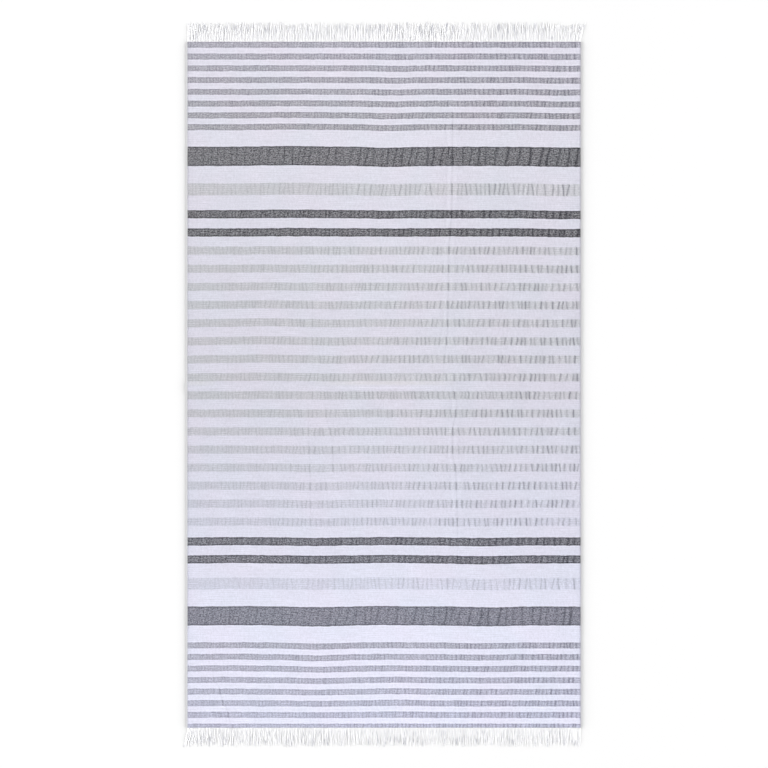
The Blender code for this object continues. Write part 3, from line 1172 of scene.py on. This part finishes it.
def strand_facts(tree, given, roots, strands):
    """Gives each strand its own lean, cut length, lie, tone and start of its winding."""
    drawn = {
        "cut": (strands.shortest, LONGEST_CUT),
        "lie": (0.0, 1.0),
        "tone": (0.0, 1.0),
        "turn": (0.0, 2.0 * math.pi),
    }
    roots = stored(roots, "lean", strand_lean(tree, given, strands))
    for draw, (name, span) in enumerate(drawn.items(), strands.draw + 1):
        roots = stored(roots, name, chance_of(given, *span, draw))
    return roots


def straight_strands(tree, given, strands):
    """A straight line a metre long on every root, each point knowing how far along it is."""
    line = source(tree, "GeometryNodeCurvePrimitiveLine", {"End": (0.0, 1.0, 0.0)})
    line = result("GeometryNodeResampleCurve", {"Curve": line, "Count": STRAND_STEPS + 1})
    roots = root_points(given, given[strands.name + "s"], given["Root"], 0.0)
    laid = result("GeometryNodeInstanceOnPoints", {
        "Points": strand_facts(tree, given, roots, strands),
        "Instance": line,
    })
    laid = result("GeometryNodeRealizeInstances", {"Geometry": laid})
    return stored(laid, "along", less(position(tree)[1], given["Root"]))


def lay_strands(tree, given, strands):
    """A strand on every root, bent and cut as its facts say, and flattened on the floor."""
    straight = straight_strands(tree, given, strands)
    along = named(tree, "along")
    thinner = times(maths("POWER", along, THINNING_BEND), STRAND_THINNING)
    half = times(given[strands.name + " thickness"], 0.5, less(1.0, thinner))
    lean = times(named(tree, "lean"), maths("POWER", along, STRAND_BEND))
    turn = added(times(along, STRAND_WINDING), named(tree, "turn"))
    waver = times(maths("SINE", turn), times(along, strands.waver))
    hump = times(maths("SINE", times(along, math.pi)), STRAND_HUMP, named(tree, "lie"))
    reach = times(along, named(tree, "cut"), given["Reach"])
    bent = result("GeometryNodeSetPosition", {
        "Geometry": straight,
        "Position": placed(
            added(position(tree)[0], added(lean, waver)),
            added(given["Root"], reach),
            added(half, hump),
        ),
    })
    ring = source(tree, "GeometryNodeCurvePrimitiveCircle", {"Resolution": STRAND_SIDES, "Radius": 1.0})
    tubes = result("GeometryNodeCurveToMesh", {
        "Curve": bent,
        "Profile Curve": ring,
        "Scale": half,
        "Fill Caps": True,
    })
    return result("GeometryNodeTransform", {
        "Geometry": tubes,
        "Translation": (0.0, 0.0, strands.height),
        "Scale": (1.0, 1.0, strands.flatness),
    })


def stitch_roots(tree, given):
    """The close row of white stitches that holds the yarns' roots."""
    width_draw, turn_draw = STITCH_DRAWS
    half_row = times(given["Root row"], 0.5)
    half_height = times(given["Yarn thickness"], STITCH_FLATNESS)
    middle = added(given["Root"], half_row)
    pitch = maths("DIVIDE", given["Width"], given["Stitches"])
    half_width = times(pitch, chance_of(given, *STITCH_WIDTH, width_draw))
    points = root_points(given, given["Stitches"], middle, half_height)
    bead = source(tree, "GeometryNodeMeshUVSphere", {"Segments": 8, "Rings": 5, "Radius": 1.0})
    return result("GeometryNodeInstanceOnPoints", {
        "Points": stored(points, "tone", 1.0),
        "Instance": bead,
        "Rotation": placed(z=chance_of(given, -STITCH_TURN, STITCH_TURN, turn_draw)),
        "Scale": placed(half_width, half_row, half_height),
    })


def fringe_tree():
    """A cut fringe: yarns laid side by side on the floor from a row of stitches."""
    tree, given, out = new_group("fringe of yarn", "GeometryNodeTree", [
        ("Stitches", INTEGER, STITCHES),
        *((strands.name + "s", INTEGER, strands.count) for strands in STRANDS),
        *((strands.name + " thickness", FLOAT, strands.thickness) for strands in STRANDS),
        ("Width", FLOAT, CLOTH_WIDTH),
        ("Root", FLOAT, FRINGE_ROOT),
        ("Root row", FLOAT, ROOT_ROW),
        ("Reach", FLOAT, FRINGE_REACH),
        ("Fan", FLOAT, 0.0),
        ("Turn", VECTOR, None),
        ("Seed", INTEGER, 1),
        ("Finish", "NodeSocketMaterial", None),
    ], [("Geometry", "NodeSocketGeometry")])
    joined = node(tree, "GeometryNodeJoinGeometry")
    for strands in STRANDS:
        plug(joined.inputs["Geometry"], lay_strands(tree, given, strands))
    plug(joined.inputs["Geometry"], stitch_roots(tree, given))
    made = result("GeometryNodeTransform", {
        "Geometry": joined.outputs["Geometry"],
        "Rotation": given["Turn"],
    })
    made = result("GeometryNodeSetShadeSmooth", {"Geometry": made})
    made = result("GeometryNodeRealizeInstances", {"Geometry": made})
    made = result("GeometryNodeSetMaterial", {"Geometry": made, "Material": given["Finish"]})
    plug(out.inputs["Geometry"], made)
    return tree


def grow(name, tree, values):
    """Makes a piece by a Geometry Nodes tree and leaves it a plain mesh."""
    piece = add_piece(name, bpy.data.meshes.new(name))
    modifier = piece.modifiers.new(tree.name, "NODES")
    modifier.node_group = tree
    for item in tree.interface.items_tree:
        if item.item_type == "SOCKET" and item.name in values:
            modifier[item.identifier] = values[item.name]
    seen = piece.evaluated_get(bpy.context.evaluated_depsgraph_get())
    mesh = bpy.data.meshes.new_from_object(seen)
    piece.modifiers.clear()
    piece.data = mesh
    return piece


def yarn_finish(threads):
    """Loose white cotton yarn, a little unlike from one strand to the next, with painted shade in short
    gaps along it.
    """
    material, tree, shader = new_material("white yarn", COTTON)
    place = node(tree, "ShaderNodeTexCoord").outputs["Object"]
    painted_gaps = times(
        mapped(noise(stretched(place, PAINTED_GAP_SCALES)), *YARN_PAINTED_GAPS),
        mapped(named_shade(tree, "along"), *PAINTED_GAPS_FROM_ROOT),
    )
    bare = mixed(named_shade(tree, "tone"), YARN_DULL, YARN_BRIGHT)
    plug(shader.inputs["Base Color"], mixed(painted_gaps, bare, YARN_PAINTED_SHADE))
    ply = grouped(threads, {
        "Map": result("ShaderNodeMapping", {"Vector": place, "Rotation": (0.0, 0.0, PLY_SLANT)}),
        "Warp pitch": 0.5,
        "Weft pitch": YARN_PLY,
    })
    plug(shader.inputs["Normal"], bumped(ply["Height"], THREAD_RELIEF))
    return material


# ==== The studio ====

def add_floor():
    """The plain white floor that the towel lies on."""
    half = FLOOR_SIZE / 2
    corners = [(-half, -half), (half, -half), (half, half), (-half, half)]
    mesh = bpy.data.meshes.new("floor")
    mesh.from_pydata([(x, y, -FLOOR_DROP) for x, y in corners], [], [(0, 1, 2, 3)])
    mesh.materials.append(new_material("white floor", WHITE_FLOOR)[0])
    add_piece("floor", mesh)


def add_softbox(lamp):
    """A soft lamp that faces the towel's middle, out of the camera's sight."""
    light = bpy.data.lights.new(lamp.name, "AREA")
    light.shape = "RECTANGLE"
    light.size = lamp.width
    light.size_y = lamp.height
    light.energy = lamp.power
    made = add_piece(lamp.name, light)
    turn = math.radians(lamp.direction)
    rise = math.radians(lamp.elevation)
    made.location = (
        lamp.distance * math.cos(rise) * math.cos(turn),
        lamp.distance * math.cos(rise) * math.sin(turn),
        lamp.distance * math.sin(rise),
    )
    made.rotation_euler = (math.pi / 2 - rise, 0.0, turn + math.pi / 2)
    made.visible_camera = False


def light_studio():
    """A dim white world that is seen as a bright backdrop, and the softboxes."""
    world = bpy.data.worlds.new("studio")
    world.use_nodes = True
    tree = world.node_tree
    background = tree.nodes["Background"]
    background.inputs["Color"].default_value = (1.0, 1.0, 1.0, 1.0)
    seen = node(tree, "ShaderNodeLightPath").outputs["Is Camera Ray"]
    strength = mapped(seen, 0.0, 1.0, WORLD_LIGHT, BACKDROP_WHITE)
    plug(background.inputs["Strength"], strength)
    bpy.context.scene.world = world
    for lamp in LAMPS:
        add_softbox(lamp)


def aim_camera():
    """The camera, straight above the towel's middle with its far end up."""
    camera = bpy.data.cameras.new("camera")
    camera.lens = LENS_MM
    camera.sensor_width = SENSOR_MM
    made = add_piece("camera", camera)
    made.location = (*VIEW_MIDDLE, VIEW_SPAN * LENS_MM / SENSOR_MM)
    bpy.context.scene.camera = made
    bpy.context.scene.view_settings.view_transform = "Standard"


# ==== Everything together ====

def main():
    aim_camera()
    light_studio()
    add_floor()
    threads = thread_group()

    cloth = build_cloth()
    cloth.data.materials.append(cloth_finish(threads))
    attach(cloth, "root")
    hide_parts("cloth")

    tree = fringe_tree()
    yarn = yarn_finish(threads)
    for place in FRINGES:
        fringe = grow(place.node + "_yarn", tree, {
            "Turn": (0.0, 0.0, place.turn),
            "Seed": place.seed,
            "Reach": place.share * FRINGE_REACH,
            "Fan": place.corner_fan,
            "Finish": yarn,
        })
        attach(fringe, "root")
        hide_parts(place.node)


main()
